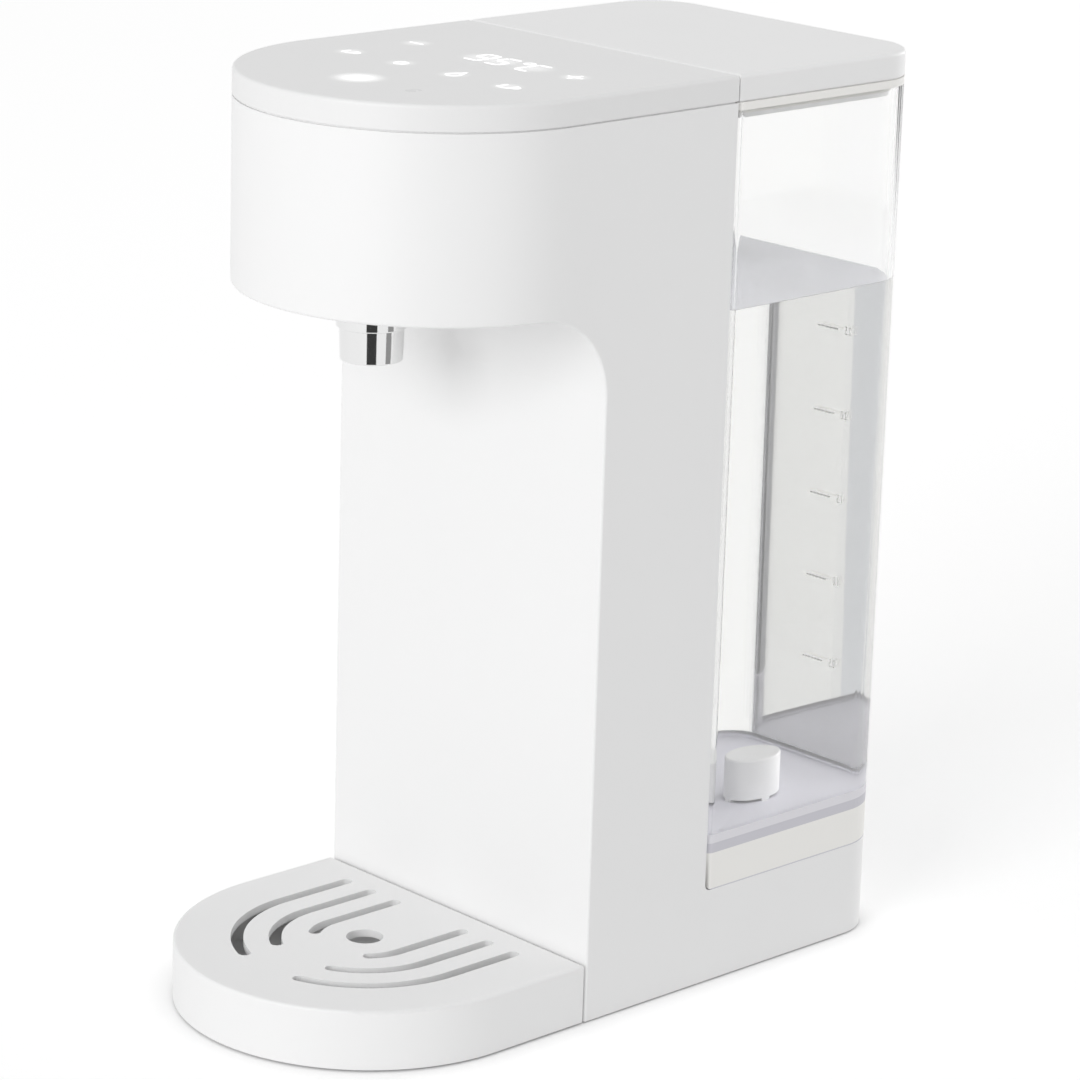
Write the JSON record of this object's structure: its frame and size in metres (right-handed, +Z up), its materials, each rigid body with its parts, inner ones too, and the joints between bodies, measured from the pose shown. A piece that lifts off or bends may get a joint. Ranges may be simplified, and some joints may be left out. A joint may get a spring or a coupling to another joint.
{
  "type": "hot water dispenser",
  "caption": "Countertop hot water dispenser: column with an overhanging round-fronted head, a nozzle over a slotted drip tray, and a clear lift-off water tank with a lid behind.",
  "frame": {"origin": "on the floor, under the middle of the footprint", "axes": "+Z up; the cup bay and nozzle face -Y, the water tank is at +Y"},
  "size_m": [0.15, 0.2906, 0.3623],
  "materials": {
    "white_abs": "satin moulded white",
    "clear_tank": "clear, polished",
    "chrome_nozzle": "polished chrome plate",
    "black_rubber": "matte",
    "silicone": "milky silicone",
    "natural_plastic": "natural polypropylene",
    "grey_plastic": "moulded grey",
    "black_plastic": "moulded black",
    "circuit_board": "green solder mask",
    "steel": "bare stainless steel"
  },
  "bodies": {
    "housing": {"main_housing": "white_abs", "rear_panel": "white_abs", "rear_panel_screws": "steel", "top_cover": "white_abs", "bottom_plate": "grey_plastic", "bottom_screws": "steel", "rubber_feet": "black_rubber", "cable_gland": "black_rubber", "nozzle_ring": "chrome_nozzle", "nozzle_nut": "grey_plastic", "spout_tube": "silicone", "outlet_chamber": "natural_plastic", "outlet_sensor": "steel", "display_board": "circuit_board", "display_module": "black_plastic", "touch_springs": "steel", "display_cable": "silicone", "power_board": "circuit_board", "power_components": "black_plastic", "board_standoffs": "natural_plastic", "level_sensor": "circuit_board", "pump_bracket": "grey_plastic", "pump_motor": "steel", "pump_housing": "natural_plastic", "heater_tube": "steel", "heater_lower_cap": "black_plastic", "heater_upper_cap": "black_plastic", "heater_brackets": "steel", "thermal_cutout": "steel", "inlet_hose": "silicone", "pump_hose": "silicone", "outlet_hose": "silicone", "tank_dock": "white_abs", "dock_seal": "silicone"},
    "tank": {"water_tank": "clear_tank", "valve_cap": "white_abs", "valve_spring": "steel"},
    "valve": {"valve_stem": "natural_plastic", "stem_seal": "silicone"},
    "lid": {"tank_lid": "white_abs", "lid_gasket": "silicone"},
    "drip_tray": {"drip_basin": "white_abs"},
    "tray_cover": {"drip_cover": "white_abs"},
    "impeller": {"pump_impeller": "black_plastic"}
  },
  "joints": [
    {"name": "tank_lift", "type": "slide", "parent": "housing", "child": "tank", "axis": [0, 0, 1], "range_m": [0, 0.33]},
    {"name": "lid_lift", "type": "slide", "parent": "tank", "child": "lid", "axis": [0, 0, 1], "range_m": [0, 0.04]},
    {"name": "valve_lift", "type": "slide", "parent": "tank", "child": "valve", "axis": [0, 0, 1], "range_m": [0, 0.004], "stiffness_N_per_m": 150, "springref_m": -0.004, "deforming": ["valve_spring"]},
    {"name": "tray_pull", "type": "slide", "parent": "housing", "child": "drip_tray", "axis": [0, -1, 0], "range_m": [0, 0.13]},
    {"name": "cover_lift", "type": "slide", "parent": "drip_tray", "child": "tray_cover", "axis": [0, 0, 1], "range_m": [0, 0.03]},
    {"name": "impeller_spin", "type": "hinge", "parent": "housing", "child": "impeller", "pos_m": [0.028, 0.016, 0.0205], "axis": [0, 1, 0], "continuous": true}
  ]
}
